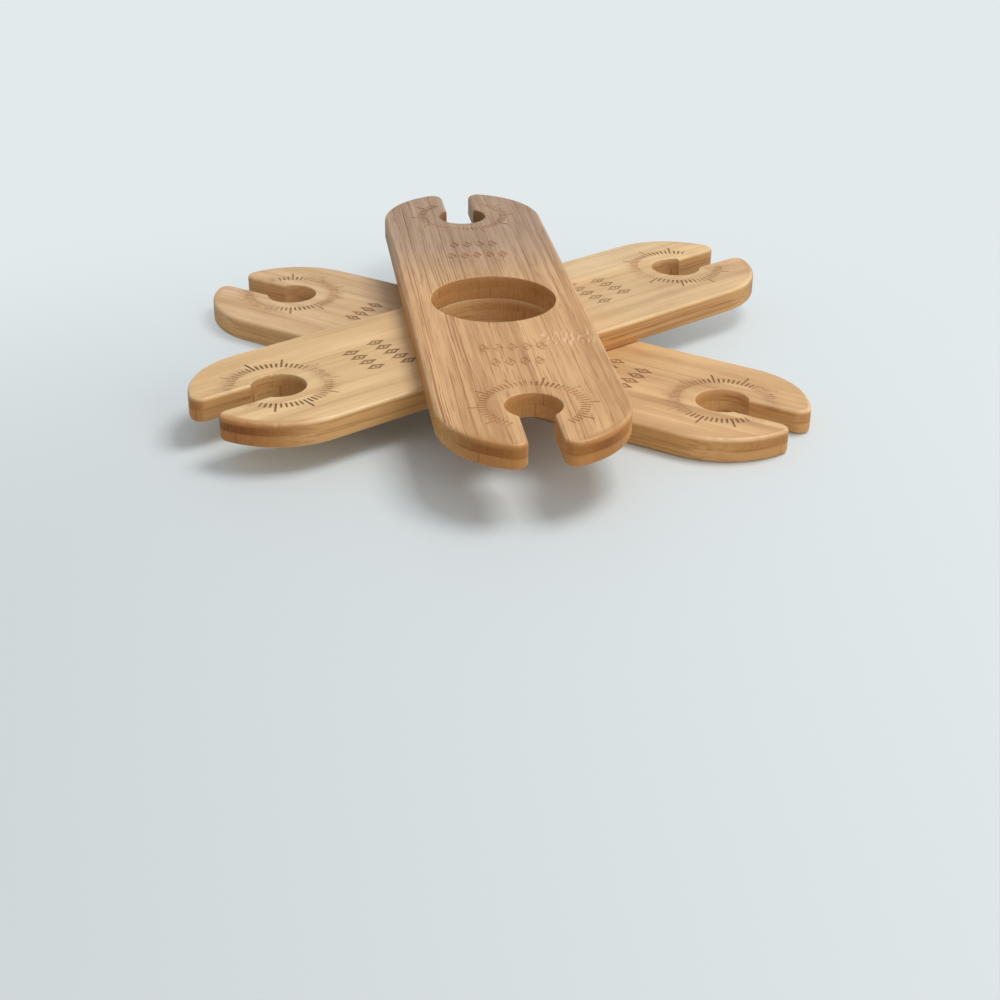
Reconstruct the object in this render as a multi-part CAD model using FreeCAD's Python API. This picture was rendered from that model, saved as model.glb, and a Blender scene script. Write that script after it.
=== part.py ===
import FreeCAD, Part
import math
import os

# Hanging wine glass rack: three like boards of laminated bamboo, stacked flat and
# fanned round one upright axis. Each board has a round neck hole in its middle and
# an open keyhole at each end, where a glass hangs by its foot. A ring of engraved
# marks like sun rays runs round each keyhole on the upper face.
# Millimetres, +Z up. Origin: centre of the neck hole on the underside of the stack.
# +X runs along the bottom board.

# Plan of one board
board_length = 222.5        # over the two half-round ends, as if the slots were closed
board_width = 57.5
board_thickness = 8.0
neck_hole_diameter = 41.0

# Open keyhole at each end
keyhole_set_out = 1.5       # round hole's centre beyond the centre of the half-round end
keyhole_diameter = 17.0
slot_width = 10.0           # runs from the round hole out through the end
prong_corner_radius = 3.75  # plan rounding at the mouth of the slot

# The rims of the outline and the slots are rounded over, upper and lower. The round
# holes are bored after that, and their rims are only just eased.
rim_radius = 1.2
bore_rim_radius = 0.4

# Engraved ring of marks round each keyhole
ring_gap = 5.0              # from the wall of the round hole to the marks
short_mark_length = 3.0
long_mark_length = 5.9
mark_width = 0.7
mark_depth = 0.25
mark_step_degrees = 6.0
marks_from_long_to_long = 6  # every sixth mark is a long one
first_mark = 6              # marks left out on each side of the slot's middle line

# The fan: turn of each board's length from that of the bottom board
middle_turn_degrees = 70.7
top_turn_degrees = -50.4

# Sizes that follow from the ones above
half_width = board_width / 2
end_centre = board_length / 2 - half_width
keyhole_centre = end_centre + keyhole_set_out
keyhole_radius = keyhole_diameter / 2
half_slot = slot_width / 2
ring_inner_radius = keyhole_radius + ring_gap
overshoot = 5.0             # how far a cutting tool runs past the board

# Name of each board, from the underside up, and its turn
fan = [
    ("board_bottom", 0.0),
    ("board_middle", middle_turn_degrees),
    ("board_top", top_turn_degrees),
]


def at(x, y, z=0.0):
    return FreeCAD.Vector(x, y, z)


def on_circle(centre_x, centre_y, radius, degrees):
    angle = math.radians(degrees)
    return at(centre_x + radius * math.cos(angle), centre_y + radius * math.sin(angle))


def arc(centre_x, centre_y, radius, start, stop):
    # Circular arc from start to stop, in degrees, through its own middle
    middle = on_circle(centre_x, centre_y, radius, (start + stop) / 2)
    first = on_circle(centre_x, centre_y, radius, start)
    last = on_circle(centre_x, centre_y, radius, stop)
    return Part.Arc(first, middle, last).toShape()


def prong_corner():
    # Centre of the small arc that joins the half-round end to the side of the slot,
    # and the direction from the end's centre through it, where the two arcs touch
    corner_y = half_slot + prong_corner_radius
    reach = half_width - prong_corner_radius
    corner_x = end_centre + math.sqrt(reach ** 2 - corner_y ** 2)
    touch = math.degrees(math.atan2(corner_y, corner_x - end_centre))
    return corner_x, corner_y, touch


def end_edges():
    # One end of the outline, from the upper long side round to the lower one. The slot
    # runs in to the keyhole's centre, where the round hole is bored out later.
    corner_x, corner_y, touch = prong_corner()
    return [
        arc(end_centre, 0, half_width, 90, touch),
        arc(corner_x, corner_y, prong_corner_radius, touch, -90),
        Part.makeLine(at(corner_x, half_slot), at(keyhole_centre, half_slot)),
        Part.makeLine(at(keyhole_centre, half_slot), at(keyhole_centre, -half_slot)),
        Part.makeLine(at(keyhole_centre, -half_slot), at(corner_x, -half_slot)),
        arc(corner_x, -corner_y, prong_corner_radius, 90, -touch),
        arc(end_centre, 0, half_width, -touch, -90),
    ]


def board_outline():
    # Two straight long sides joined by two like ends
    right = end_edges()
    left = [edge.copy() for edge in right]
    for edge in left:
        edge.rotate(at(0, 0), at(0, 0, 1), 180)
    upper = Part.makeLine(at(-end_centre, half_width), at(end_centre, half_width))
    lower = Part.makeLine(at(end_centre, -half_width), at(-end_centre, -half_width))
    return Part.Wire([upper] + right + [lower] + left)


def bore_cutter(centre_x, radius):
    # Turned cutter for a round hole. At both faces of the board it flares along a quarter
    # circle, which leaves the rim of the hole eased.
    wide = radius + bore_rim_radius
    bend = bore_rim_radius * (1 - math.sqrt(0.5))
    low, high = -overshoot, board_thickness + overshoot
    lower_rim, upper_rim = bore_rim_radius, board_thickness - bore_rim_radius
    lower_flare = Part.Arc(at(wide, 0), at(radius + bend, 0, bend), at(radius, 0, lower_rim))
    upper_flare = Part.Arc(
        at(radius, 0, upper_rim),
        at(radius + bend, 0, board_thickness - bend),
        at(wide, 0, board_thickness),
    )
    profile = Part.Wire([
        Part.makeLine(at(0, 0, low), at(wide, 0, low)),
        Part.makeLine(at(wide, 0, low), at(wide, 0)),
        lower_flare.toShape(),
        Part.makeLine(at(radius, 0, lower_rim), at(radius, 0, upper_rim)),
        upper_flare.toShape(),
        Part.makeLine(at(wide, 0, board_thickness), at(wide, 0, high)),
        Part.makeLine(at(wide, 0, high), at(0, 0, high)),
        Part.makeLine(at(0, 0, high), at(0, 0, low)),
    ])
    cutter = Part.Face(profile).revolve(at(0, 0), at(0, 0, 1), 360)
    cutter.translate(at(centre_x, 0))
    return cutter


def rim_edges(solid):
    # The edges that lie flat in the upper or the lower face
    edges = []
    for edge in solid.Edges:
        box = edge.BoundBox
        level = abs(box.ZMin) < 0.001 or abs(box.ZMin - board_thickness) < 0.001
        if box.ZLength < 0.001 and level:
            edges.append(edge)
    return edges


def mark_cutter(degrees, length):
    # Bar over one engraved mark, which points straight out from the keyhole's centre
    bar = Part.makeBox(
        length, mark_width, mark_depth + overshoot,
        at(ring_inner_radius, -mark_width / 2, board_thickness - mark_depth),
    )
    bar.rotate(at(0, 0), at(0, 0, 1), degrees)
    bar.translate(at(keyhole_centre, 0))
    return bar


def ring_cutters():
    # Bars of one ring. It is open towards the slot, and its long marks stand evenly
    # on both sides of the board's middle line.
    bars = []
    last_mark = round(360 / mark_step_degrees) - first_mark
    for mark in range(first_mark, last_mark + 1):
        place = (mark + marks_from_long_to_long // 2) % marks_from_long_to_long
        length = long_mark_length if place == 0 else short_mark_length
        bars.append(mark_cutter(mark * mark_step_degrees, length))
    return bars


def board():
    # Finished board: the rims of outline and slots are rounded over, the neck hole and
    # the keyholes' round holes are bored, and the two rings are engraved in the upper face
    blank = Part.Face(board_outline()).extrude(at(0, 0, board_thickness))
    rounded = blank.makeFillet(rim_radius, rim_edges(blank))
    bores = [
        bore_cutter(0, neck_hole_diameter / 2),
        bore_cutter(keyhole_centre, keyhole_radius),
        bore_cutter(-keyhole_centre, keyhole_radius),
    ]
    bars = ring_cutters()
    for bar in list(bars):
        twin = bar.copy()
        twin.rotate(at(0, 0), at(0, 0, 1), 180)
        bars.append(twin)
    return rounded.cut(bores).cut(bars)


def placed_board(solid, level, turn):
    # Lays the board on the ones below it, with its length turned about the upright axis
    laid = solid.copy()
    laid.rotate(at(0, 0), at(0, 0, 1), turn)
    laid.translate(at(0, 0, level * board_thickness))
    return laid


def write_part(name, shape):
    if len(shape.Solids) != 1:
        raise ValueError(name + " is not one solid")
    shape.Solids[0].exportStep("parts/" + name + ".step")
    print(name, round(shape.Volume / 1000, 2), "cm3")


os.makedirs("parts", exist_ok=True)
one_board = board()
for level, (name, turn) in enumerate(fan):
    write_part(name, placed_board(one_board, level, turn))
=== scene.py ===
import math

import bmesh
import bpy
import numpy as np
from mathutils import Matrix
from mathutils.geometry import delaunay_2d_cdt


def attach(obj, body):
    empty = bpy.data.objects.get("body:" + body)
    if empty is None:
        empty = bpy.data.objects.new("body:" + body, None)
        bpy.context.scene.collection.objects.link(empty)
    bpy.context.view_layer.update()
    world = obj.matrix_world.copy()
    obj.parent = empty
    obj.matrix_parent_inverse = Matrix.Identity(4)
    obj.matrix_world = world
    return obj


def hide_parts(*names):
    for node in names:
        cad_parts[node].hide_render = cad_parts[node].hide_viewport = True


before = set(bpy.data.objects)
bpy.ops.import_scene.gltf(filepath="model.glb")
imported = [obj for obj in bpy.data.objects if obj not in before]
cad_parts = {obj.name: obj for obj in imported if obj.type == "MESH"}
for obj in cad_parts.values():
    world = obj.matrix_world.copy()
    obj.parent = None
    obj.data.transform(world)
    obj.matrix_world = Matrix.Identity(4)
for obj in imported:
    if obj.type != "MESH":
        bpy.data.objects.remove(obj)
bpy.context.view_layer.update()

mm = 0.001  # plan sizes below are in millimetres, the scene is in metres


def addNode(tree, kind, inputs=None, **settings):
    # One shader node, with its settings made first, and then its inputs linked or set
    made = tree.nodes.new("ShaderNode" + kind)
    for key, value in settings.items():
        setattr(made, key, value)
    for key, value in (inputs or {}).items():
        if isinstance(value, bpy.types.NodeSocket):
            tree.links.new(value, made.inputs[key])
        else:
            made.inputs[key].default_value = value
    return made


def sums(tree, operation, first, second=0.0, third=0.0, clamp=False):
    # One step of arithmetic on numbers
    inputs = {0: first, 1: second, 2: third}
    return addNode(tree, "Math", inputs, operation=operation, use_clamp=clamp).outputs[0]


def scaled(tree, value, factor, base):
    # The value times a factor, plus a base
    return sums(tree, "MULTIPLY_ADD", value, factor, base)


def between(tree, share, ends):
    # From the first end to the second, by a share
    first, second = ends
    return scaled(tree, share, second - first, first)


def distance(tree, value, middle):
    return sums(tree, "ABSOLUTE", sums(tree, "SUBTRACT", value, middle))


def product(tree, *factors):
    total = factors[0]
    for factor in factors[1:]:
        total = sums(tree, "MULTIPLY", total, factor)
    return total


def steps(tree, value, low, high, to0=0.0, to1=1.0):
    # Smooth step from one level to another, as the value goes from low to high
    inputs = {"Value": value, "From Min": low, "From Max": high, "To Min": to0, "To Max": to1}
    return addNode(tree, "MapRange", inputs, interpolation_type="SMOOTHSTEP").outputs[0]


def vectorOf(tree, x, y, z=0.0):
    return addNode(tree, "CombineXYZ", {0: x, 1: y, 2: z}).outputs[0]


def vectorSums(tree, operation, first, second=(0, 0, 0)):
    # One step of arithmetic on vectors: its result is a Vector or a Value
    return addNode(tree, "VectorMath", {0: first, 1: second}, operation=operation).outputs


def blend(tree, share, first, second, kind="MIX"):
    # From the first colour to the second, or to their product, by a share
    made = addNode(tree, "Mix", data_type="RGBA", blend_type=kind)
    sockets = made.inputs[0], made.inputs[6], made.inputs[7]
    for socket, value in zip(sockets, (share, first, second)):
        if isinstance(value, bpy.types.NodeSocket):
            tree.links.new(value, socket)
        else:
            socket.default_value = value if isinstance(value, float) else (*value, 1)
    return made.outputs[2]


def attribute(tree, name):
    return addNode(tree, "Attribute", attribute_name=name).outputs["Fac"]


def addObject(name, data):
    made = bpy.data.objects.new(name, data)
    bpy.context.scene.collection.objects.link(made)
    return made


viewpoint = {
    "place": (281.833, -460.215, 234.862),  # millimetres
    "heading": 31.1734,  # degrees from +Y, anticlockwise
    "down": 27.9149,  # degrees that it looks down
    "roll": 0.6461,
    "focalPixels": 1750.0,  # in an image of this width
    "imageWidth": 1000.0,
    "sensorWidth": 36.0,  # millimetres
    "clip": (0.02, 20.0),  # nearest and furthest that it sees, in metres
}


def buildCamera():
    print("camera")
    data = bpy.data.cameras.new("Camera")
    data.sensor_width = viewpoint["sensorWidth"]
    data.lens = viewpoint["focalPixels"] * viewpoint["sensorWidth"] / viewpoint["imageWidth"]
    data.clip_start, data.clip_end = viewpoint["clip"]
    camera = addObject("Camera", data)
    spin = Matrix.Rotation(math.radians(viewpoint["heading"]), 4, "Z")
    spin = spin @ Matrix.Rotation(math.radians(90 - viewpoint["down"]), 4, "X")
    spin = spin @ Matrix.Rotation(math.radians(viewpoint["roll"]), 4, "Z")
    place = [value * mm for value in viewpoint["place"]]
    camera.matrix_world = Matrix.Translation(place) @ spin
    bpy.context.scene.camera = camera


studio = {
    "skyColour": (0.95, 0.97, 1.0),
    "skyLevel": 0.42,
    "backdrop": (0.765, 0.822, 0.836),
    "softboxes": [  # places and sizes in metres
        {"name": "OverheadSoftbox", "place": (0.3, 0.34, 1.00), "size": 0.55, "watts": 6.8},
        {"name": "RightFill", "place": (1.05, -0.38, 0.42), "size": 0.7, "watts": 4.0},
    ],
    "floorColour": (0.7, 0.75, 0.755),
    "floorRoughness": 0.6,
    "floorHalf": 3.0,
    "floorCells": 12,  # along each side
    "floorFadeFrom": (0.11, -0.15, 0.0),  # the lit floor passes into the even backdrop
    "floorFade": (0.13, 0.37),  # between these distances from this place
}


def buildLights():
    print("lights")
    for lamp in studio["softboxes"]:
        data = bpy.data.lights.new(lamp["name"], "AREA")
        data.shape = "SQUARE"
        data.size = lamp["size"]
        data.energy = lamp["watts"]
        light = addObject(lamp["name"], data)
        place = Matrix.Translation(lamp["place"])
        towards = -place.translation.normalized()
        light.matrix_world = place @ towards.to_track_quat("-Z", "Y").to_matrix().to_4x4()

    world = bpy.data.worlds.new("Studio")
    world.use_nodes = True
    tree = world.node_tree
    tree.nodes.clear()
    ray = addNode(tree, "LightPath").outputs
    mirrored = sums(tree, "MAXIMUM", ray["Is Glossy Ray"], ray["Is Transmission Ray"])
    seen = sums(tree, "MAXIMUM", ray["Is Camera Ray"], mirrored)
    lit = addNode(tree, "Background", {
        "Color": (*studio["skyColour"], 1), "Strength": studio["skyLevel"]})
    even = addNode(tree, "Background", {"Color": (*studio["backdrop"], 1), "Strength": 1.0})
    mixed = addNode(tree, "MixShader", {0: seen, 1: lit.outputs[0], 2: even.outputs[0]})
    addNode(tree, "OutputWorld", {0: mixed.outputs[0]})
    bpy.context.scene.world = world


def gridFaces(rows, columns, closed=True):
    # Quads of a grid of points, joined round its columns where it is closed
    index = np.arange(rows * columns).reshape(rows, columns)
    right = np.roll(index, -1, axis=1) if closed else index[:, 1:]
    here = index if closed else index[:, :-1]
    return np.stack([here[:-1], right[:-1], right[1:], here[1:]], axis=-1).reshape(-1, 4)


def buildFloor():
    # A wide flat square of even cells. Away from the part its paint passes into the
    # backdrop's own level, for the camera alone, so that no horizon shows.
    print("floor")
    count = studio["floorCells"] + 1
    side = np.linspace(-studio["floorHalf"], studio["floorHalf"], count)
    x, y = np.meshgrid(side, side)
    points = np.stack([x, y, 0 * x], axis=-1).reshape(-1, 3)
    mesh = bpy.data.meshes.new("Floor")
    faces = gridFaces(count, count, closed=False)
    mesh.from_pydata(points.tolist(), [], faces.tolist())
    material = bpy.data.materials.new("FloorPaint")
    material.use_nodes = True
    tree = material.node_tree
    paint = tree.nodes["Principled BSDF"]
    paint.inputs["Base Color"].default_value = (*studio["floorColour"], 1)
    paint.inputs["Roughness"].default_value = studio["floorRoughness"]
    place = addNode(tree, "TexCoord").outputs["Object"]
    away = vectorSums(tree, "DISTANCE", place, studio["floorFadeFrom"])["Value"]
    ray = addNode(tree, "LightPath").outputs
    share = product(tree, steps(tree, away, *studio["floorFade"]), ray["Is Camera Ray"])
    even = addNode(tree, "Emission", {"Color": (*studio["backdrop"], 1), "Strength": 1.0})
    mixed = addNode(tree, "MixShader", {0: share, 1: paint.outputs[0], 2: even.outputs[0]})
    tree.links.new(mixed.outputs[0], tree.nodes["Material Output"].inputs[0])
    mesh.materials.append(material)
    floor = addObject("Floor", mesh)


# Plan and section of one board in millimetres, as in the part's source
plan = {
    "length": 222.5,
    "width": 57.5,
    "thickness": 8.0,
    "neckDiameter": 41.0,
    "keyholeSetOut": 1.5,
    "keyholeDiameter": 17.0,
    "slotWidth": 10.0,
    "prongCorner": 3.75,
    "rim": 1.2,  # of outline and slots
    "boreRim": 0.4,  # of the bored holes
    "rimUnevenness": 0.1,  # share by which a hand-sanded rim grows here and there
    "unevenTurns": (3, 7, 12, 19, 31, 44),  # its waves, in whole turns round the outline
    "waveSizes": (0.4, 1),  # least and greatest
    "wavePhases": (0, 6.3),
    "skin": 0.01,  # how far the walls stay inside the CAD's
    "sameWithin": 1e-5,  # points of a flat face nearer than this are one
    "mergeWithin": 0.002,  # and points of the whole board
    "flatWithin": 0.001,  # points this near the upper face's height lie in it
    "sharpDegrees": 38,  # edges bent more than this stay sharp
}
halfWidth = plan["width"] / 2
endCentre = plan["length"] / 2 - halfWidth
keyholeCentre = endCentre + plan["keyholeSetOut"]
keyholeRadius = plan["keyholeDiameter"] / 2
halfSlot = plan["slotWidth"] / 2
neckRadius = plan["neckDiameter"] / 2
thickness = plan["thickness"]
cornerY = halfSlot + plan["prongCorner"]
cornerX = endCentre + math.sqrt((halfWidth - plan["prongCorner"]) ** 2 - cornerY ** 2)
touchAngle = math.atan2(cornerY, cornerX - endCentre)

# How many points each stretch of the outline and each rim gets
samples = {
    "endArc": 60, "prongCorner": 14, "slot": 16, "keyhole": 56, "side": 60,
    "neck": 160, "rim": 8, "wall": 3, "lozengeSide": 4, "dot": 10,
}
halfCounts = [samples[key] for key in ("endArc", "prongCorner", "slot", "keyhole")]
halfCount = sum(halfCounts)
endCount = 2 * halfCount - 1
outlineCount = 2 * (endCount + samples["side"])


def boreInset(height):
    # How far a bored hole's wall stands back at a height: nothing along the wall, and a
    # quarter circle of the rim's radius at each face
    rim = plan["boreRim"]
    past = np.maximum(np.abs(height - thickness / 2) - (thickness / 2 - rim), 0)
    return rim - np.sqrt(np.maximum(rim ** 2 - past ** 2, 0))


def halfEnd(inset, height):
    # Half of an open end, from the long side round the prong into the keyhole. Rows are
    # levels of the section, each with its inset from the wall. Each arc keeps its centre
    # while its radius shrinks (convex) or grows (concave) by the inset, and straight sides
    # shift by it. The slot's rounded side ends where it meets the bored wall.
    cuts = np.cumsum(halfCounts)[:-1]
    endInset, prongInset, slotInset, holeInset = np.split(inset, cuts, axis=1)
    turn = np.linspace(math.pi / 2, touchAngle, halfCounts[0])
    endX = endCentre + (halfWidth - endInset) * np.cos(turn)
    endY = (halfWidth - endInset) * np.sin(turn)
    turn = np.linspace(touchAngle, -math.pi / 2, halfCounts[1] + 1)[1:]
    radius = plan["prongCorner"] - prongInset
    prongX, prongY = cornerX + radius * np.cos(turn), cornerY + radius * np.sin(turn)
    share = np.linspace(0, 1, halfCounts[2] + 1)[1:]
    bored = keyholeRadius + plan["skin"] + boreInset(np.split(height, cuts, axis=1)[2])
    slotY = halfSlot + slotInset
    slotX = cornerX + (keyholeCentre + np.sqrt(bored ** 2 - slotY ** 2) - cornerX) * share
    throat = np.arcsin(slotY[:, -1:] / bored[:, -1:])
    turn = throat + (math.pi - throat) * np.linspace(0, 1, halfCounts[3] + 1)[1:]
    holeX = keyholeCentre + (keyholeRadius + holeInset) * np.cos(turn)
    holeY = (keyholeRadius + holeInset) * np.sin(turn)
    return (np.concatenate([endX, prongX, slotX, holeX], axis=1),
            np.concatenate([endY, prongY, slotY, holeY], axis=1))


def outline(inset, height):
    # Whole closed outline: end, long side, the end turned by half a turn, other long side
    def openEnd(insets, heights):
        # The half end and its mirror image, which share the point at the keyhole's back
        upX, upY = halfEnd(insets[:, :halfCount], heights[:, :halfCount])
        last = halfCount - 1
        downX, downY = halfEnd(insets[:, last:][:, ::-1], heights[:, last:][:, ::-1])
        return (np.concatenate([upX, downX[:, ::-1][:, 1:]], axis=1),
                np.concatenate([upY, -downY[:, ::-1][:, 1:]], axis=1))

    cuts = np.cumsum([endCount, samples["side"], endCount])
    right, lower, left, upper = np.split(inset, cuts, axis=1)
    rightHeight, _, leftHeight, _ = np.split(height, cuts, axis=1)
    share = np.linspace(1, -1, samples["side"] + 2)[1:-1]
    rightX, rightY = openEnd(right, rightHeight)
    leftX, leftY = openEnd(left, leftHeight)
    x = np.concatenate([rightX, endCentre * share + 0 * lower, -leftX,
                        -endCentre * share + 0 * upper], axis=1)
    y = np.concatenate([rightY, lower - halfWidth, -leftY, halfWidth - upper], axis=1)
    return x, y


def outlineRims():
    # Radius of the rim at each point of the outline: the bores' own round the keyholes
    half = np.repeat([plan["rim"], plan["rim"], plan["rim"], plan["boreRim"]], halfCounts)
    end = np.concatenate([half, half[::-1][1:]])
    side = np.full(samples["side"], plan["rim"])
    return np.concatenate([end, side, end, side])


def neckCircle(inset, height):
    # Circle of the neck hole: its radius grows by the inset
    turn = np.linspace(0, 2 * math.pi, samples["neck"], endpoint=False)
    return (neckRadius + inset) * np.cos(turn), (neckRadius + inset) * np.sin(turn)


def rimSection(lowerRim, upperRim):
    # Section from the lower face up the wall to the upper face, at each point of a path:
    # a quarter circle, a straight wall and a quarter circle
    bend = np.linspace(0, math.pi / 2, samples["rim"])[:, None]
    rise = np.linspace(0, 1, samples["wall"] + 2)[1:-1, None]
    straight = thickness - lowerRim - upperRim
    inset = np.concatenate([lowerRim * (1 - np.sin(bend)), 0 * rise * straight,
                            upperRim * (1 - np.cos(bend))])
    height = np.concatenate([lowerRim * (1 - np.cos(bend)), lowerRim + straight * rise,
                             thickness - upperRim * (1 - np.sin(bend))])
    return inset, height


def unevenness(count, seed):
    # Smooth closed wave between 0 and 1: a few sines of whole numbers of turns
    turn = np.linspace(0, 2 * math.pi, count, endpoint=False)
    chance = np.random.default_rng(int(seed))
    sizes, phases = plan["waveSizes"], plan["wavePhases"]
    waves = [chance.uniform(*sizes) * np.sin(turns * turn + chance.uniform(*phases))
             for turns in plan["unevenTurns"]]
    total = np.sum(waves, axis=0)
    return (total - total.min()) / np.ptp(total)


def nicked(x, y, nicks):
    # How much the upper rim has crumbled at each point: a bell round each nick
    total = np.zeros_like(x)
    for (atX, atY), deep, reach in nicks:
        away = np.hypot(x - atX, y - atY)
        total += deep * np.exp(-(away / reach) ** 2)
    return total


def sweptWall(curve, lowerRim, upperRim):
    # The rim section carried along a closed plan curve
    inset, height = rimSection(lowerRim[None, :], upperRim[None, :])
    x, y = curve(inset + plan["skin"], height)
    return np.stack([x, y, height], axis=-1), gridFaces(*height.shape)


# Engraved ring of rays round each keyhole, in millimetres and degrees
ring = {
    "innerRadius": 13.5,
    "shortLength": 3.0,
    "longLength": 5.9,
    "width": 0.7,
    "depth": 0.25,
    "step": 6.0,
    "firstMark": 6,
    "longEvery": 6,
    "corner": 0.24,  # radius of a mark's corners
    "insets": (0, 0.06, 0.13, 0.22),  # from the mark's edge inwards, and how far down
    "sunk": (0, 0.5, 0.85, 1),
    "hazeTurns": (39, 322, 6.0),  # first, past the last, and step of the points
    "hazeRadii": (11.2, 12.3, 13.1, 14.2, 15.4, 16.7, 18.2, 19.8, 21.5, 23.5),  # that carry haze
}


def roundedBar(halfLength, halfBreadth, inset):
    # Loop round a bar with rounded corners, shrunk by the inset. At an inset of half its
    # breadth it closes to a line.
    corner = np.maximum(ring["corner"] - inset, 0)
    quarter = np.array([0.0, 30.0, 60.0, 90.0])
    turn = np.radians(np.concatenate([quarter, quarter + 90, quarter + 180, quarter + 270]))
    alongSign = np.repeat([1, -1, -1, 1], 4)
    acrossSign = np.repeat([1, 1, -1, -1], 4)
    along = alongSign * (halfLength - inset - corner) + corner * np.cos(turn)
    across = acrossSign * (halfBreadth - inset - corner) + corner * np.sin(turn)
    return along, across


def ringMarks():
    # Every mark of both rings at once: a bar's loops, sunk step by step and narrowed,
    # turned to point straight out from the keyhole's centre
    number = np.arange(ring["firstMark"], round(360 / ring["step"]) - ring["firstMark"] + 1)
    isLong = (number + ring["longEvery"] // 2) % ring["longEvery"] == 0
    length = np.where(isLong, ring["longLength"], ring["shortLength"])[:, None, None]
    turn = np.radians(number * ring["step"])[:, None, None]
    inset = np.array([*ring["insets"], ring["width"] / 2])[None, :, None]
    sunk = ring["depth"] * np.array([*ring["sunk"], 1])[None, :, None]
    along, across = roundedBar(length / 2, ring["width"] / 2, inset)
    out = ring["innerRadius"] + length / 2 + along
    x = keyholeCentre + out * np.cos(turn) - across * np.sin(turn)
    y = out * np.sin(turn) + across * np.cos(turn)
    points = np.stack([x, y, thickness - sunk + 0 * x], axis=-1)
    return np.concatenate([points, points * (-1, -1, 1)])


# Two rows of engraved lozenges between each ring and the neck hole
border = {
    "rows": [{"x": 52.5, "count": 4}, {"x": 41.5, "count": 5}],
    "pitch": 4.5,
    "halfLength": 3.5,  # of a lozenge, along the board
    "halfBreadth": 1.85,  # across the board
    "stroke": 0.8,
    "dotRadius": 0.5,
    "depth": 0.25,
    "acrossStroke": (0, 0.12, 0.3, 0.5, 0.7, 0.88, 1),  # share of the stroke, inwards
    "sunkInStroke": (0, 0.6, 0.95, 1, 0.95, 0.6, 0),  # share of the depth there
    "acrossDot": (1, 0.85, 0.6, 0.3, 0),  # share of the radius
    "sunkInDot": (0, 0.6, 0.9, 1, 1),
}


def lozengeStrokes():
    # Hollow lozenges: four straight strokes, whose section is carried round by scaling
    a, b = border["halfLength"], border["halfBreadth"]
    corners = np.array([[a, 0], [0, b], [-a, 0], [0, -b]])
    share = np.linspace(0, 1, samples["lozengeSide"] + 1)[:-1, None]
    following = np.roll(corners, -1, axis=0)
    path = np.concatenate([
        start * (1 - share) + stop * share for start, stop in zip(corners, following)])
    toSide = a * b / math.hypot(a, b)
    inwards = border["stroke"] * np.array(border["acrossStroke"])
    return path, 1 - inwards / toSide, border["depth"] * np.array(border["sunkInStroke"])


def dotLoops():
    # A small round pit: a circle, scaled down to its middle as it sinks
    turn = np.linspace(0, 2 * math.pi, samples["dot"], endpoint=False)
    path = border["dotRadius"] * np.stack([np.cos(turn), np.sin(turn)], axis=-1)
    return path, np.array(border["acrossDot"]), border["depth"] * np.array(border["sunkInDot"])


def borderPoints(kind):
    # One kind of stroke at every place of the border, at both ends of the board
    path, scale, sunk = lozengeStrokes() if kind == "lozenge" else dotLoops()
    centres = []
    for row in border["rows"]:
        across = (np.arange(row["count"]) - (row["count"] - 1) / 2) * border["pitch"]
        centres.append(np.stack([np.full(row["count"], row["x"]), across], axis=-1))
    centres = np.concatenate(centres)[:, None, None]
    flat = centres + scale[None, :, None, None] * path[None, None]
    z = np.broadcast_to(thickness - sunk[None, :, None], flat.shape[:3])
    points = np.concatenate([flat, z[..., None]], axis=-1)
    return np.concatenate([points, points * (-1, -1, 1)])


def turnsLeft(loop):
    # True where the loop's signed area, half the sum of its cross products, is above 0
    x, y = loop.T
    return np.sum(x * np.roll(y, -1) - y * np.roll(x, -1)) > 0


def flatFace(loops, spread, height):
    # Flat face between loops: triangles of the plane, kept where an odd number of loops
    # holds them. Loose points in spread make them even.
    loops = [loop if turnsLeft(loop) else loop[::-1] for loop in loops]
    flat = np.concatenate(loops + [spread])
    starts = np.cumsum([0] + [len(loop) for loop in loops])
    rings = [list(range(first, last)) for first, last in zip(starts[:-1], starts[1:])]
    plane = [tuple(point) for point in flat.tolist()]
    found = delaunay_2d_cdt(plane, [], rings, 0, plan["sameWithin"], True)
    points = np.array([tuple(p) for p in found[0]])
    inside = np.array([len(owner) % 2 for owner in found[5]], bool)
    triangles = np.array([list(f) for f in found[2]])[inside]
    return np.column_stack([points, np.full(len(points), height)]), triangles


# Loose points that keep the flat faces' triangles even: how far they reach from the middle,
# and for each face their spacing and how far they stay from its edges
fillPoints = {
    "reach": (106, 26),
    "upper": (4.0, 2.6),
    "under": (6.0, 3.0),
}


def looseGrid(step, clearance):
    # Even grid of points well inside the outline and clear of the neck hole and keyholes
    reachX, reachY = fillPoints["reach"]
    x, y = np.meshgrid(np.arange(-reachX, reachX + 1, step), np.arange(-reachY, reachY + 1, step))
    x, y = x.ravel(), y.ravel()
    far = np.abs(x)
    reach = np.hypot(np.maximum(far - endCentre, 0), y)
    keep = (reach < halfWidth - clearance) & (np.hypot(x, y) > neckRadius + clearance)
    keep &= np.hypot(far - keyholeCentre, y) > keyholeRadius + clearance
    keep &= ~((far > keyholeCentre) & (np.abs(y) < halfSlot + clearance))
    return np.stack([x, y], axis=-1)[keep]


def ringSpread():
    # Points on circles between the marks, dense enough to carry the scorched haze
    turn = np.radians(np.arange(*ring["hazeTurns"]))[None, :]
    radius = np.array(ring["hazeRadii"])[:, None]
    x = (keyholeCentre + radius * np.cos(turn)).ravel()
    y = (radius * np.sin(turn)).ravel()
    return np.concatenate([np.stack([x, y], axis=-1), np.stack([-x, -y], axis=-1)])


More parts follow.
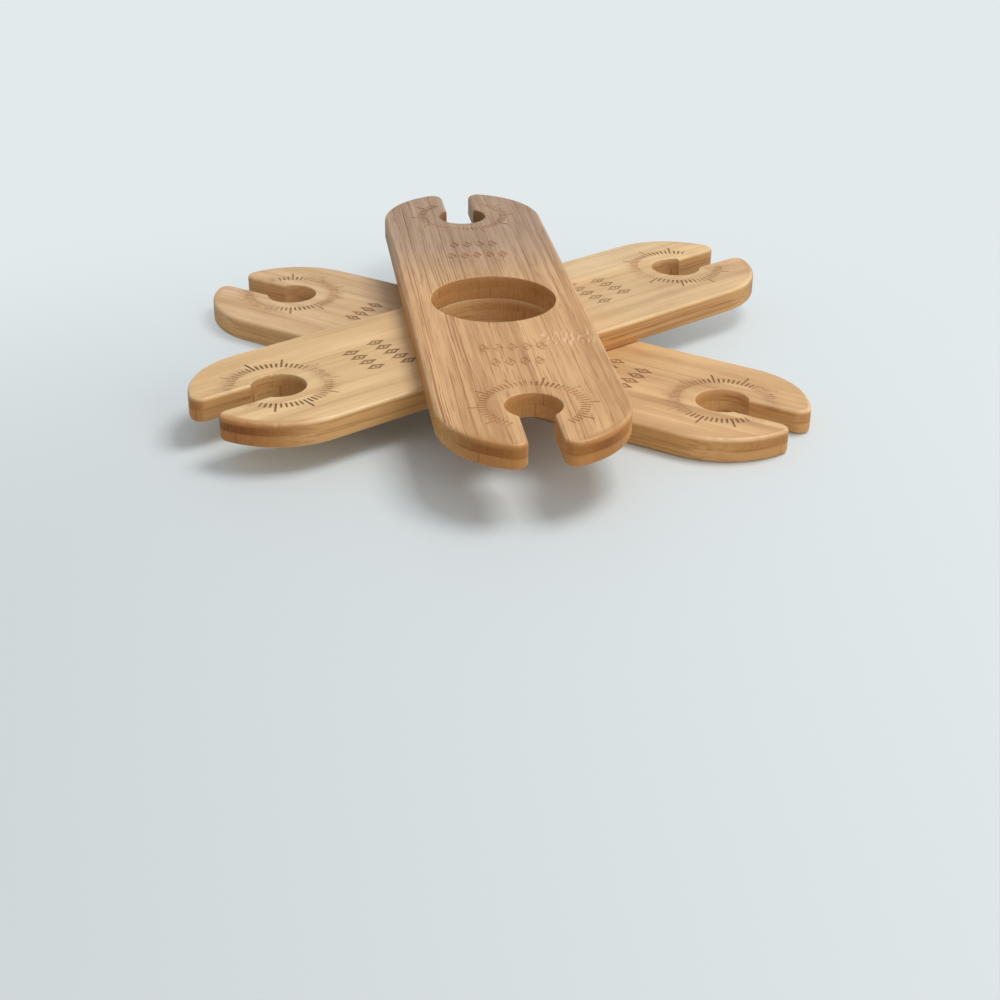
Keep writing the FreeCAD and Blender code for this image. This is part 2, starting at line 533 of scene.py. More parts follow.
# The three boards. Ends are 1 for the board's own +X and -1 for its -X.
boards = {
    "boardBottom": {
        "node": "board_bottom",
        "level": 0,
        "turn": 0.0,  # degrees, as in the part's source
        "seed": 3.0,
        "tone": (0.67, 0.4, 0.175),  # mean colour of the upper face
        "endGrain": (0.48, 0.225, 0.07),
        "tintsAndPaintedLight": [  # broad tints, some of them painted light: place, reach and share of the colour
            # The first, paler and bluer over the -X end, is a painted reflection of the pale
            # backdrop; the others make the -X tip and the near side paler.
            ((-110, 0), (100, 200), (1.02, 1.08, 1.24)),
            ((-107, -10), (12, 16), (1.07, 1.07, 1.18)),
            ((-74, -24), (48, 18), (1.12, 1.13, 1.17)),
        ],
        "streaks": 1.0,  # strength of broad soft streaks
        "fibres": 0.22,  # strength of the thin dark fibres
        "fibreSides": (1.0, 1.0),  # their share along the -Y and the +Y side
        "plyDrift": 0.9,  # how far the line between the plies wanders
        "jointShift": 0.0,  # where the glue joints lie across the board
        "nodes": [],  # joints of the cane: place, extent and flecks
        "clear": {  # sectors burnt dark: middle and half width
            1: [(106, 34), (287, 37)],
            -1: [(128, 18), (315, 29)],
        },
        "ringBurn": {1: 0.72, -1: 0.68},  # how dark the marks are there
        "borderBurn": {1: 0.66, -1: 0.66},  # and the lozenges
        "haze": {1: 1.0, -1: 1.0},  # strength of the scorched haze round the ring
        "rubbedAndHighlit": 0.75,  # how pale the rims are made: rubbed wear and a painted highlight
        "stains": [  # dark tips: place, reach and strength
            ((106, -10), (6, 9), 0.35), ((-106, 14), (6, 8), 0.45),
            ((-107, -14), (7, 9), 0.6),
        ],
        "smudges": [],  # more haze: place, reach and strength
        "nicks": [  # chips of the upper rim: place, depth and reach
            ((96, -25.3), 0.5, 0.9), ((92.5, -26.8), 0.35, 0.7),
            ((-99.3, 5), 1.1, 1.7), ((-104.2, 5), 0.6, 1.2),
        ],
    },
    "boardMiddle": {
        "node": "board_middle",
        "level": 1,
        "turn": 70.7,
        "seed": 8.0,
        "tone": (0.735, 0.464, 0.214),
        "endGrain": (0.4, 0.155, 0.038),
        "tintsAndPaintedLight": [
            # The first darkens the near side; the second, paler and bluer over the far side, is a
            # painted reflection of the pale backdrop.
            ((62, -14), (64, 26), (0.84, 0.82, 0.82)), ((60, 24), (62, 17), (1.04, 1.16, 1.36)),
            ((105, -15), (14, 17), (0.92, 0.87, 0.88)),
        ],
        "streaks": 0.8,
        "fibres": 0.15,
        "fibreSides": (1.0, 1.0),
        "plyDrift": 0.7,
        "jointShift": -2.2,
        "nodes": [],
        "clear": {1: [(60, 26), (224, 30)], -1: [(61, 37), (251, 38)]},
        "ringBurn": {1: 0.68, -1: 0.8},
        "borderBurn": {1: 0.58, -1: 0.74},
        "haze": {1: 0.4, -1: 0.85},
        "rubbedAndHighlit": 0.55,
        "stains": [
            ((-107, -14), (9, 12), 1.0), ((-93, -25), (9, 6), 0.45),
            ((104, 16), (6, 9), 0.4), ((107, -13), (6, 9), 0.5),
        ],
        "smudges": [
            ((88, -14.5), (9, 3), 0.55), ((72, -10), (13, 6), 0.4),
            ((95, -9), (6, 4), 0.75),
        ],
        "nicks": [
            ((-81.2, 8.4), 0.95, 0.6), ((-79.4, 7.6), 0.7, 0.5),
            ((-84.6, 8.6), 0.5, 0.8), ((-106, -16), 0.7, 0.8),
            ((-103.3, -19.8), 0.45, 0.7), ((-99.4, -23.1), 0.8, 0.6),
            ((-97, -24.9), 0.3, 1.2),
        ],
    },
    "boardTop": {
        "node": "board_top",
        "level": 2,
        "turn": -50.4,
        "seed": 15.0,
        "tone": (0.62, 0.342, 0.142),
        "endGrain": (0.415, 0.17, 0.042),
        # Darker and greyer over the -X end: painted shade and painted reflection
        "tintsAndPaintedLight": [((-110, 0), (110, 200), (0.64, 0.72, 1.03))],
        "streaks": 0.9,
        "fibres": 1.0,
        "fibreSides": (1.45, 0.75),
        "plyDrift": 1.5,
        "jointShift": -7.25,
        "nodes": [{"x": 36.0, "half": 6.0, "across": (9.5, 27.5), "pale": 0.85, "dark": 0.6}],
        "clear": {1: [(156, 15)], -1: [(200, 14)]},
        "ringBurn": {1: 0.62, -1: 0.14},
        "borderBurn": {1: 0.16, -1: 0.3},
        "haze": {1: 0.2, -1: 0.1},
        "rubbedAndHighlit": 0.25,
        "stains": [
            ((106, -16), (9, 10), 0.7), ((104, 17), (9, 10), 0.9),
            ((-107, 12), (7, 9), 0.4),
        ],
        "smudges": [],
        "nicks": [],
    },
}

# What all three share. A share multiplies another colour.
bamboo = {
    "strips": 3,  # side by side in each of the two plies
    "stripWidth": 20.5,  # before the long sides were trimmed
    "plyShift": 2.2,  # millimetres between the strips of the two plies
    "plyHeight": 4.0,  # of the line between the plies
    "stripSeed": 3.7,  # what sets strips and plies apart in the noise
    "plySeed": 11.3,
    "stripJump": 61.0,
    "waviness": 2.4,  # millimetres that the grain wanders sideways
    "jointLine": (0.34, 0.08),  # distances over which the glue lines come in
    "glueLine": (0.65, 0.05),
    "fibreBand": (-18.0, 10.0),  # where fibres pass from one side's share to the other's
    "tintCore": 0.4,  # part of a tint's reach that it fills evenly
    "chatterBelowTop": (5.0, 1.8),  # cutter marks come in between these depths
    "sandedBand": (3.2, 1.4),  # end grain at a stained tip, from the end's edge
    "sandedPast": 8.0,  # how far past the end's centre it comes in
    "sandedBelowTop": (2.0, 1.0),  # and below the upper face
    "palest": 0.9,  # no channel is paler
    "lightShare": (1.17, 1.23, 1.32),  # of the tone, where the wood is palest
    "darkShare": (0.74, 0.66, 0.56),  # and darkest
    "threadShare": (0.5, 0.32, 0.13),  # a dark fibre
    "paleShare": (1.14, 1.22, 1.32),  # a pale fibre
    "rubbedHighlightShare": (1.34, 1.48, 1.75),  # a rim, partly rubbed and partly a painted highlight
    "stainShare": (0.56, 0.44, 0.36),  # a wall darkened at a tip, of its colour
    "side": (0.585, 0.278, 0.082),  # the long sides' deeper tone
    "sideLineShare": (0.62, 0.52, 0.42),
    "lowerPly": (1.2, 1.32, 1.55),  # the rest are shares of the end grain's colour
    "chatterShare": (0.72, 0.64, 0.6),
    "scoredShare": (0.62, 0.55, 0.5),
    "jointShare": (0.75, 0.68, 0.6),
    "burnt": (0.115, 0.044, 0.014),
    "scorched": (0.33, 0.15, 0.055),
    "glue": (0.26, 0.11, 0.034),
    "fleck": (0.8, 0.52, 0.29),
}

# How strongly each mark shows, from 0 to 1. In a pair, where it doesn't and does apply.
strength = {
    "middleTone": 0.4,  # from pale to dark
    "broad": 1.9,  # what each pattern adds to that, by the streaks
    "mottled": 0.9,
    "medium": (0.35, 0.9),  # by itself, and by the fibres
    "fine": (0.08, 0.8),
    "strips": 0.3,
    "paleLines": 0.5,  # by the fibres
    "threads": 0.58,
    "dashes": 0.48,
    "side": (0.5, 0.6),  # on the upper ply
    "sideLines": 0.45,
    "endGrain": (0.84, 0.96),  # in the bundles of fibres
    "endGrainBored": (1.0, 0.5),  # in a bored hole
    "chatter": (0.32, 0.0),  # in a bored hole
    "scoredBore": 0.1,
    "scoredEnd": 0.07,
    "gluePatches": (0.03, 0.5),
    "glueBored": (1.0, 0.3),  # in a bored hole
    "joint": (0.22, 0.52),  # on a wall
    "stain": (0.45, 1.0),  # on the upper ply
    "sanded": 0.85,
    # Painted shade beside each fleck at a joint of the cane
    "fleckShadeStrength": 0.55,
    "haze": (0.22, 0.77),  # where cloudy
    "rimPatches": (0.95, 0.55),  # on darker wood
    "rimStained": (1.0, 0.2),  # at a stained tip
    "burn": (0.8, 1.0),  # where cloudy
}

# Relief and gloss
surface = {
    "fineRelief": 0.5,
    "threadRelief": -0.2,
    "cutterRelief": 0.8,
    "bumpStrength": 0.25,
    "bumpDepth": 0.07,  # millimetres
    "roughness": 0.4,
    "roughByGrain": 0.16,
    "roughByBurn": 0.2,
    "ior": 1.48,
    "sheen": (0.3, 0.1),  # on faces and on walls
    "coat": 0.12,
    "coatOnRims": 0.6,  # what the rim band adds, where it is rubbed and painted as a highlight
    "coatRoughness": 0.22,
    "burntGloss": (1.0, 0.1),  # share of the gloss on plain and on burnt wood
}

# Levels of the normal over which a surface comes to count as each kind
facings = {
    "cut": (0.22, 0.8),  # across the grain, by its part along the board
    "wall": (0.8, 0.3),  # these by its upright part
    "end": (0.97, 0.55),  # takes in the rims
    "face": (0.9, 0.99),
}

# Noise in the wood: waves per millimetre along, across and up, detail and roughness
patterns = {
    "drift": ((0.022, 0.03, 0.0), 1.0, 0.5),
    "wave": ((0.016, 0.05, 0.05), 2.0, 0.5),
    "broad": ((0.01, 0.17, 0.17), 3.0, 0.5),
    "mottled": ((0.045, 0.1, 0.1), 3.0, 0.6),
    "medium": ((0.014, 0.55, 0.55), 3.0, 0.55),
    "fine": ((0.03, 2.3, 2.3), 2.0, 0.6),
    "threads": ((0.01, 1.45, 1.45), 2.5, 0.55),
    "dashes": ((0.07, 1.6, 1.6), 1.0, 0.5),
    "paleLines": ((0.02, 0.95, 1.3), 2.0, 0.6),
    "bundles": ((0.5, 0.9, 0.5), 2.0, 0.5),
    "sideLines": ((0.012, 0.7, 1.1), 2.0, 0.55),
    "cutter": ((1.7, 1.7, 0.1), 2.0, 0.6),
    "chatter": ((1.5, 1.5, 0.32), 1.0, 0.5),
    "patchy": ((0.06, 0.06, 0.3), 2.0, 0.5),
    "wobble": ((0.0, 0.3, 0.0), 3.0, 0.5),
    "flecks": ((0.24, 0.85, 0.2), 2.0, 0.5),
    "fleckShade": ((0.24, 0.85, 0.2), 2.0, 0.5),
    "cloudy": ((0.3, 0.45, 0.5), 3.0, 0.6),
}

# Levels between which a pattern turns into a mark
levels = {
    "mottled": (0.35, 0.65),
    "threads": (0.55, 0.65),
    "dashes": (0.58, 0.7),
    "paleLines": (0.46, 0.34),
    "bundles": (0.35, 0.7),
    "sideLines": (0.5, 0.64),
    "cutter": (0.5, 0.68),
    "chatter": (0.53, 0.66),
    "patchy": (0.38, 0.66),
    "flecks": (0.53, 0.63),
    "fleckShade": (0.52, 0.62),
    "cloudy": (0.32, 0.66),
    "polished": (0.44, 0.3),  # of the cutter's noise, where it leaves the wood pale
}

# Joints of the cane, in millimetres
caneJoint = {
    "wobble": 7.0,  # how far its edge wanders along the board
    "fullShare": 0.55,  # part of its half width with all of its flecks
    "sideFade": 1.5,
    "slant": 0.22,  # of the flecks
    "fleckShadeSide": (0.4, 0.55, 0.0),  # where a fleck's painted shade lies from it
}


def noise(tree, vector, name):
    # Noise in coordinates stretched by the pattern's waves
    waves, detail, rough = patterns[name]
    stretched = vectorSums(tree, "MULTIPLY", vector, waves)["Vector"]
    inputs = {"Vector": stretched, "Scale": 1.0, "Detail": detail, "Roughness": rough}
    return addNode(tree, "TexNoise", inputs).outputs[0]


def marksOf(tree, vector, name, reach=(0.0, 1.0)):
    # Noise turned into marks, by a smooth step between the pattern's two levels
    return steps(tree, noise(tree, vector, name), *levels[name], *reach)


def shaded(colour, share):
    # The colour times the share, channel by channel, up to the palest
    return tuple(min(bamboo["palest"], c * s) for c, s in zip(colour, share))


def bambooMaterial(name, board):
    material = bpy.data.materials.new(name)
    material.use_nodes = True
    tree = material.node_tree
    tree.nodes.clear()
    turn = math.radians(board["turn"])
    local = addNode(tree, "Mapping", {
        "Vector": addNode(tree, "TexCoord").outputs["Object"],
        "Location": (0, 0, -board["level"] * thickness),
        "Rotation": (0, 0, -turn),
        "Scale": (1 / mm, 1 / mm, 1 / mm),
    }).outputs[0]
    along, across, up = addNode(tree, "SeparateXYZ", {0: local}).outputs
    normal = addNode(tree, "NewGeometry").outputs["Normal"]
    facing = vectorSums(tree, "DOT_PRODUCT", normal, (math.cos(turn), math.sin(turn), 0))["Value"]
    cut = steps(tree, sums(tree, "ABSOLUTE", facing), *facings["cut"])
    upright = sums(tree, "ABSOLUTE", addNode(tree, "SeparateXYZ", {0: normal}).outputs[2])
    isWall = steps(tree, upright, *facings["wall"])
    isEnd = steps(tree, upright, *facings["end"])
    isFace = steps(tree, upright, *facings["face"])

    # Two plies, each of three strips side by side, and a seed for each strip
    lowest = bamboo["plyHeight"] - board["plyDrift"] / 2
    plyHeight = scaled(tree, noise(tree, local, "drift"), board["plyDrift"], lowest)
    ply = sums(tree, "GREATER_THAN", up, plyHeight)
    stripWidth = bamboo["stripWidth"]
    shifted = scaled(tree, sums(tree, "SUBTRACT", ply, 0.5), -bamboo["plyShift"], across)
    start = bamboo["strips"] / 2 * stripWidth - board["jointShift"]
    inStrips = sums(tree, "DIVIDE", sums(tree, "ADD", shifted, start), stripWidth)
    seed = scaled(tree, sums(tree, "FLOOR", inStrips), bamboo["stripSeed"], board["seed"])
    seed = scaled(tree, ply, bamboo["plySeed"], seed)
    chance = addNode(tree, "TexWhiteNoise", {"W": seed}, noise_dimensions="1D").outputs[0]
    fromMiddle = distance(tree, sums(tree, "FRACT", inStrips), 0.5)
    fromJoint = sums(tree, "MULTIPLY", sums(tree, "SUBTRACT", 0.5, fromMiddle), stripWidth)
    jointLine = steps(tree, fromJoint, *bamboo["jointLine"])
    glueLine = steps(tree, distance(tree, up, plyHeight), *bamboo["glueLine"])

    # Grain runs along the strip, a little wavy, and differs from strip to strip
    wandering = scaled(tree, noise(tree, local, "wave"), bamboo["waviness"], across)
    grainPlace = vectorOf(tree, scaled(tree, seed, bamboo["stripJump"], along), wandering, up)
    mottled = noise(tree, local, "mottled")
    medium = noise(tree, grainPlace, "medium")
    fine = noise(tree, grainPlace, "fine")
    threads = marksOf(tree, grainPlace, "threads")
    dashes = marksOf(tree, grainPlace, "dashes")
    paleLines = marksOf(tree, grainPlace, "paleLines")

    # From pale to dark: what each pattern adds about its own middle
    streaks, fibres = board["streaks"], board["fibres"]
    mediumShare, mediumByFibres = strength["medium"]
    fineShare, fineByFibres = strength["fine"]
    tone = strength["middleTone"]
    for pattern, share in (
        (noise(tree, grainPlace, "broad"), strength["broad"] * streaks),
        (mottled, strength["mottled"] * streaks),
        (medium, mediumShare + mediumByFibres * fibres),
        (fine, fineShare + fineByFibres * fibres),
        (chance, strength["strips"]),
    ):
        tone = scaled(tree, sums(tree, "SUBTRACT", pattern, 0.5), share, tone)
    tone = sums(tree, "ADD", tone, clamp=True)
    darkThread = shaded(board["tone"], bamboo["threadShare"])
    paleThread = shaded(board["tone"], bamboo["paleShare"])
    lightest = shaded(board["tone"], bamboo["lightShare"])
    colour = blend(tree, tone, lightest, shaded(board["tone"], bamboo["darkShare"]))
    paleLines = product(tree, paleLines, strength["paleLines"] * fibres)
    colour = blend(tree, paleLines, colour, paleThread)
    sides = [fibres * side for side in board["fibreSides"]]
    threadShare = product(
        tree, threads, steps(tree, across, *bamboo["fibreBand"], *sides), strength["threads"])
    colour = blend(tree, threadShare, colour, darkThread)
    colour = blend(tree, product(tree, dashes, strength["dashes"] * fibres), colour, darkThread)

    # The long sides show a deeper tone with lines along them, the ends end grain
    bored, stain = attribute(tree, "bored"), attribute(tree, "stain")
    lowerGrain = shaded(board["endGrain"], bamboo["lowerPly"])
    sideShare = product(tree, isWall, between(tree, ply, strength["side"]))
    colour = blend(tree, sideShare, colour, bamboo["side"])
    sideLines = product(
        tree, marksOf(tree, grainPlace, "sideLines"), isWall, sums(tree, "SUBTRACT", 1.0, cut),
        strength["sideLines"])
    colour = blend(tree, sideLines, colour, shaded(bamboo["side"], bamboo["sideLineShare"]))
    endShare = product(
        tree, cut, isEnd, between(tree, marksOf(tree, local, "bundles"), strength["endGrain"]),
        between(tree, bored, strength["endGrainBored"]))
    colour = blend(tree, endShare, colour, blend(tree, ply, lowerGrain, board["endGrain"]))

    # Short marks of the cutter under an end's upper rim, and fine upright ones on the walls
    # across the grain and in the bored holes
    deep, shallow = bamboo["chatterBelowTop"]
    chatter = product(
        tree, marksOf(tree, local, "chatter"),
        steps(tree, up, thickness - deep, thickness - shallow),
        isEnd, cut, between(tree, bored, strength["chatter"]))
    colour = blend(tree, chatter, colour, shaded(board["endGrain"], bamboo["chatterShare"]))
    cutter = noise(tree, local, "cutter")
    scoring = scaled(
        tree, bored, strength["scoredBore"], product(tree, cut, strength["scoredEnd"]))
    scored = product(tree, isWall, steps(tree, cutter, *levels["cutter"]), scoring)
    colour = blend(tree, scored, colour, shaded(board["endGrain"], bamboo["scoredShare"]))
    polished = product(tree, isWall, steps(tree, cutter, *levels["polished"]), scoring)
    colour = blend(tree, polished, colour, paleThread)

    # Glue lines between the plies and the strips, and stains on the walls at the tips
    glueShare = product(
        tree, glueLine, isWall, marksOf(tree, local, "patchy", strength["gluePatches"]),
        between(tree, bored, strength["glueBored"]))
    colour = blend(tree, glueShare, colour, bamboo["glue"])
    jointShare = product(tree, jointLine, between(tree, isWall, strength["joint"]))
    colour = blend(tree, jointShare, colour, shaded(board["endGrain"], bamboo["jointShare"]))
    stained = product(tree, stain, isEnd, between(tree, ply, strength["stain"]))
    colour = blend(tree, stained, colour, bamboo["stainShare"], "MULTIPLY")

    # Broad tints, some of them painted shade and painted reflection, each over an oval that fades
    # towards its edge
    for place, reaches, share in board["tintsAndPaintedLight"]:
        oval = vectorOf(tree, *[
            sums(tree, "DIVIDE", sums(tree, "SUBTRACT", value, middle), reach)
            for value, middle, reach in zip((along, across), place, reaches)])
        inOval = steps(tree, vectorSums(tree, "LENGTH", oval)["Value"], 1.0, bamboo["tintCore"])
        colour = blend(tree, inOval, colour, share, "MULTIPLY")

    # End grain shows in a band of the upper face where a stained tip was sanded through
    pastCentre = sums(tree, "SUBTRACT", sums(tree, "ABSOLUTE", along), endCentre)
    fromCentre = vectorSums(tree, "LENGTH", vectorOf(tree, pastCentre, across))["Value"]
    inner, outer = bamboo["sandedBand"]
    lowest, highest = bamboo["sandedBelowTop"]
    sanded = product(
        tree, stain, steps(tree, fromCentre, halfWidth - inner, halfWidth - outer),
        steps(tree, pastCentre, 0.0, bamboo["sandedPast"]),
        steps(tree, up, thickness - lowest, thickness - highest), strength["sanded"])
    colour = blend(tree, sanded, colour, lowerGrain)

    # A joint of the cane: wavy pale flecks, partly a painted highlight on their ripples, each with
    # painted shade on one side, over a narrow band
    for node in board["nodes"]:
        wobble = scaled(tree, noise(tree, local, "wobble"), caneJoint["wobble"], along)
        away = distance(tree, wobble, node["x"] + caneJoint["wobble"] / 2)
        near = steps(tree, away, node["half"], caneJoint["fullShare"] * node["half"])
        low, high = node["across"]
        aside = distance(tree, across, (low + high) / 2)
        edge = (high - low) / 2
        here = product(tree, near, steps(tree, aside, edge, edge - caneJoint["sideFade"]), isFace)
        slanted = vectorOf(tree, along, scaled(tree, along, caneJoint["slant"], across), up)
        beside = vectorSums(tree, "ADD", slanted, caneJoint["fleckShadeSide"])["Vector"]
        fleckShade = product(
            tree, marksOf(tree, beside, "fleckShade"), here, strength["fleckShadeStrength"] * node["dark"])
        colour = blend(tree, fleckShade, colour, darkThread)
        pale = product(tree, marksOf(tree, slanted, "flecks"), here, node["pale"])
        colour = blend(tree, pale, colour, bamboo["fleck"])

    # Scorched haze, rims made paler by rubbing and by a painted highlight, and burnt marks
    cloudy = marksOf(tree, local, "cloudy")
    hazeShare = product(tree, attribute(tree, "haze"), between(tree, cloudy, strength["haze"]))
    colour = blend(tree, hazeShare, colour, bamboo["scorched"])
    # The upper rim is paler: partly rubbed wear, partly a painted highlight along its rounding.
    rim = product(
        tree, attribute(tree, "rim"), board["rubbedAndHighlit"], between(tree, stain, strength["rimStained"]))
    rimShare = product(tree, rim, steps(tree, mottled, *levels["mottled"], *strength["rimPatches"]))
    colour = blend(tree, rimShare, colour, shaded(board["tone"], bamboo["rubbedHighlightShare"]))
    burn = attribute(tree, "burn")
    burnShare = sums(tree, "MULTIPLY", burn, between(tree, cloudy, strength["burn"]), clamp=True)
    colour = blend(tree, burnShare, colour, bamboo["burnt"])

    # Relief of the grain and of the cutter's marks. Burnt wood is rough and dull.
    relief = scaled(
        tree, fine, surface["fineRelief"], product(tree, threads, surface["threadRelief"]))
    relief = scaled(tree, product(tree, isWall, cutter), surface["cutterRelief"], relief)
    bump = addNode(tree, "Bump", {
        "Strength": surface["bumpStrength"], "Distance": surface["bumpDepth"] * mm,
        "Height": relief})
    rough = scaled(tree, medium, surface["roughByGrain"], surface["roughness"])
    gloss = between(tree, burn, surface["burntGloss"])
    coat = scaled(tree, rim, surface["coatOnRims"], surface["coat"])
    shader = addNode(tree, "BsdfPrincipled", {
        "Base Color": colour,
        "Roughness": scaled(tree, burn, surface["roughByBurn"], rough),
        "Normal": bump.outputs[0],
        "IOR": surface["ior"],
        "Specular IOR Level": product(tree, gloss, between(tree, isWall, surface["sheen"])),
        "Coat Weight": product(tree, gloss, coat),
        "Coat Roughness": surface["coatRoughness"],
        "Coat IOR": surface["ior"],
    })
    addNode(tree, "OutputMaterial", {0: shader.outputs[0]})
    return material


# Where the wood is scorched, rubbed, painted with a rim highlight and bored, in millimetres and
# degrees
scorch = {
    "softening": 14.0,  # over which a dark sector fades out
    "faintMarks": 0.1,  # how dark marks stay outside those sectors
    "ringReach": 21.0,  # nearer the keyhole than this, marks are the ring's
    "hazeRadius": 15.3,
    "hazeBreadth": 2.4,
    "hazeInSector": 0.25,  # share of the haze left in a dark sector
    "hazeReach": 24.0,
    "depth": 1.3,  # haze and the rim band, rubbed and painted highlight, stay this near the upper face
    "rimMiddle": 0.5,  # the rim band, rubbed and painted highlight, from the upper face down
    "rimHalf": 0.85,
    "boreMargin": 0.1,
}


def clearness(sectors, degrees):
    # 1 in the middle of each dark sector, falling smoothly to 0 past its half width
    best = np.zeros_like(degrees)
    soft = scorch["softening"]
    for middle, half in sectors:
        away = np.abs((degrees - middle + 180) % 360 - 180)
        share = np.clip((half + soft / 2 - away) / soft, 0, 1)
        best = np.maximum(best, share * share * (3 - 2 * share))
    return best


def bellSum(spots, points, total):
    # Adds to the total, at each point, every spot's strength times a bell over its reach
    for place, reach, deep in spots:
        away = (points[:, :2] - place) / reach
        total = total + deep * np.exp(-np.sum(away ** 2, axis=1))
    return total


def aroundKeyhole(points):
    # Which end each point is nearer to, and its distance and angle from the keyhole there
    side = np.where(points[:, 0] > 0, 1, -1)
    x = points[:, 0] - side * keyholeCentre
    return side, np.hypot(x, points[:, 1]), np.degrees(np.arctan2(points[:, 1], x))


def burnLevels(board, middles, kinds):
    # How dark each engraved face is: by sector in the rings, even in the borders
    side, radius, degrees = aroundKeyhole(middles)
    faint = scorch["faintMarks"]
    level = np.zeros(len(middles))
    for end in (1, -1):
        clear = clearness(board["clear"][end], degrees)
        inRing = board["ringBurn"][end] * (faint + (1 - faint) * clear)
        here = np.where(radius < scorch["ringReach"], inRing, board["borderBurn"][end])
        level = np.where((side == end) & (kinds == 1), here, level)
    return level


def hazeLevels(board, points):
    # Bell across the ring's radius, weaker in the dark sectors, and each smudge's own bell.
    # Each point takes the highest.
    side, radius, degrees = aroundKeyhole(points)
    bell = np.exp(-((radius - scorch["hazeRadius"]) / scorch["hazeBreadth"]) ** 2)
    left = scorch["hazeInSector"]
    level = np.zeros(len(points))
    for end in (1, -1):
        clear = clearness(board["clear"][end], degrees)
        here = bell * (left + (1 - left) * (1 - clear)) * board["haze"][end]
        level = np.where((side == end) & (radius < scorch["hazeReach"]), here, level)
    for smudge in board["smudges"]:
        level = np.maximum(level, bellSum([smudge], points, 0))
    return np.where(points[:, 2] > thickness - scorch["depth"], level, 0)


def stainLevels(board, points):
    # Sum of the stains' bells, at most 1
    return np.minimum(bellSum(board["stains"], points, np.zeros(len(points))), 1)


def rimLevels(points):
    # Band along the middle of the upper rim, fading evenly to both sides, off the flat face
    down = thickness - points[:, 2]
    band = np.clip(1 - np.abs(down - scorch["rimMiddle"]) / scorch["rimHalf"], 0, 1)
    return np.where((down < scorch["depth"]) & (down > plan["flatWithin"]), band, 0)


def boredLevels(points):
    # 1 on the walls of the bored holes
    _, radius, _ = aroundKeyhole(points)
    margin = plan["boreRim"] + scorch["boreMargin"]
    inNeck = np.hypot(points[:, 0], points[:, 1]) < neckRadius + margin
    return np.where((radius < keyholeRadius + margin) | inNeck, 1.0, 0.0)


def boardPieces(board):
    # Every patch of one board in its own axes: points, faces, and 1 where it is engraved
    base = np.zeros((1, outlineCount))
    x, y = outline(base, base + thickness / 2)
    rims = outlineRims() * (1 + plan["rimUnevenness"] * unevenness(outlineCount, board["seed"]))
    wall, wallFaces = sweptWall(outline, rims, rims + nicked(x[0], y[0], board["nicks"]))
    neckRim = np.full(samples["neck"], plan["boreRim"])
    neck, neckFaces = sweptWall(neckCircle, neckRim, neckRim)
    marks, lozenges, dots = ringMarks(), borderPoints("lozenge"), borderPoints("dot")

    topLoops = [wall[-1, :, :2], neck[-1, :, :2]]
    topLoops += [mark[0, :, :2] for mark in marks]
    topLoops += [edge[:, :2] for one in lozenges for edge in (one[0], one[-1])]
    topLoops += [dot[0, :, :2] for dot in dots]
    topSpread = np.concatenate([looseGrid(*fillPoints["upper"]), ringSpread()])
    top = flatFace(topLoops, topSpread, thickness)
    under = flatFace([wall[0, :, :2], neck[0, :, :2]], looseGrid(*fillPoints["under"]), 0.0)

    pieces = [(wall.reshape(-1, 3), wallFaces, 0), (neck.reshape(-1, 3), neckFaces, 0)]
    pieces += [(*top, 0), (*under, 0)]
    for group in (marks, lozenges, dots):
        faces = gridFaces(*group.shape[1:3])
        starts = np.arange(len(group)) * group.shape[1] * group.shape[2]
        faces = (faces[None] + starts[:, None, None]).reshape(-1, 4)
        pieces.append((group.reshape(-1, 3), faces, 1))
    return pieces


def ownPlaces(parts, key, spin, lift):
    # Places of a mesh's points or faces, turned back to the board's own axes
    places = np.zeros(len(parts) * 3)
    parts.foreach_get(key, places)
    return places.reshape(-1, 3) / mm @ spin.T - lift


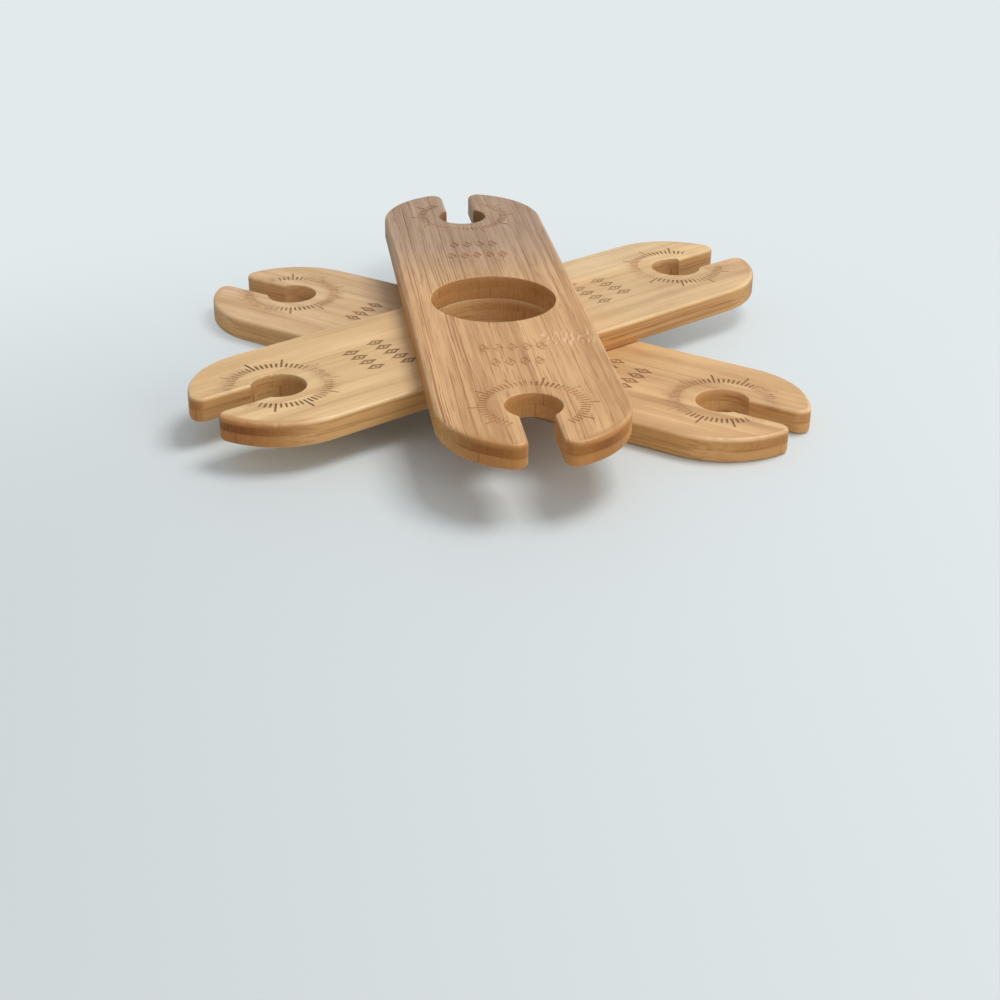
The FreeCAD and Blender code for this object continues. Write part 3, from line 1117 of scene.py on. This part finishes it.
def buildBoard(name, board):
    print("board", name)
    points, faces, engraved, first = [], [], [], 0
    for vertices, indices, kind in boardPieces(board):
        points.append(vertices)
        faces += (indices + first).tolist()
        engraved += [kind] * len(indices)
        first += len(vertices)
    turn = math.radians(board["turn"])
    cosine, sine = math.cos(turn), math.sin(turn)
    spin = np.array([[cosine, sine, 0], [-sine, cosine, 0], [0, 0, 1]])
    lift = np.array([0, 0, board["level"] * thickness])
    mesh = bpy.data.meshes.new(name)
    mesh.from_pydata(((np.concatenate(points) + lift) @ spin * mm).tolist(), [], faces)
    mesh.polygons.foreach_set("material_index", engraved)

    # Patches share their edges' points, so merging them closes the board
    shell = bmesh.new()
    shell.from_mesh(mesh)
    bmesh.ops.remove_doubles(shell, verts=shell.verts, dist=plan["mergeWithin"] * mm)
    loose = [point for point in shell.verts if not point.link_faces]
    bmesh.ops.delete(shell, geom=loose, context="VERTS")
    bmesh.ops.recalc_face_normals(shell, faces=shell.faces)
    openEdges = sum(not edge.is_manifold for edge in shell.edges)
    shell.to_mesh(mesh)
    shell.free()
    print("  faces", len(mesh.polygons), "open edges", openEdges)

    # What the material reads
    count = len(mesh.polygons)
    places = ownPlaces(mesh.vertices, "co", spin, lift)
    middles = ownPlaces(mesh.polygons, "center", spin, lift)
    kinds = np.zeros(count, np.int32)
    mesh.polygons.foreach_get("material_index", kinds)
    read = {
        "burn": ("FACE", burnLevels(board, middles, kinds)),
        "haze": ("POINT", hazeLevels(board, places)),
        "rim": ("POINT", rimLevels(places)),
        "bored": ("POINT", boredLevels(places)),
        "stain": ("POINT", stainLevels(board, places)),
    }
    for key, (domain, values) in read.items():
        made = mesh.attributes.new(key, "FLOAT", domain)
        made.data.foreach_set("value", values.astype(np.float32))

    mesh.polygons.foreach_set("material_index", np.zeros(count, np.int32))
    mesh.polygons.foreach_set("use_smooth", np.ones(count, bool))
    mesh.set_sharp_from_angle(angle=math.radians(plan["sharpDegrees"]))
    mesh.materials.append(bambooMaterial(name + "Bamboo", board))
    mesh.update()
    piece = addObject(name, mesh)
    evenNormals = piece.modifiers.new("EvenNormals", "WEIGHTED_NORMAL")
    evenNormals.keep_sharp = True
    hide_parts(board["node"])
    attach(piece, "root")


buildCamera()
buildLights()
buildFloor()
for boardName, boardLooks in boards.items():
    buildBoard(boardName, boardLooks)

bpy.context.scene.view_settings.view_transform = "Standard"
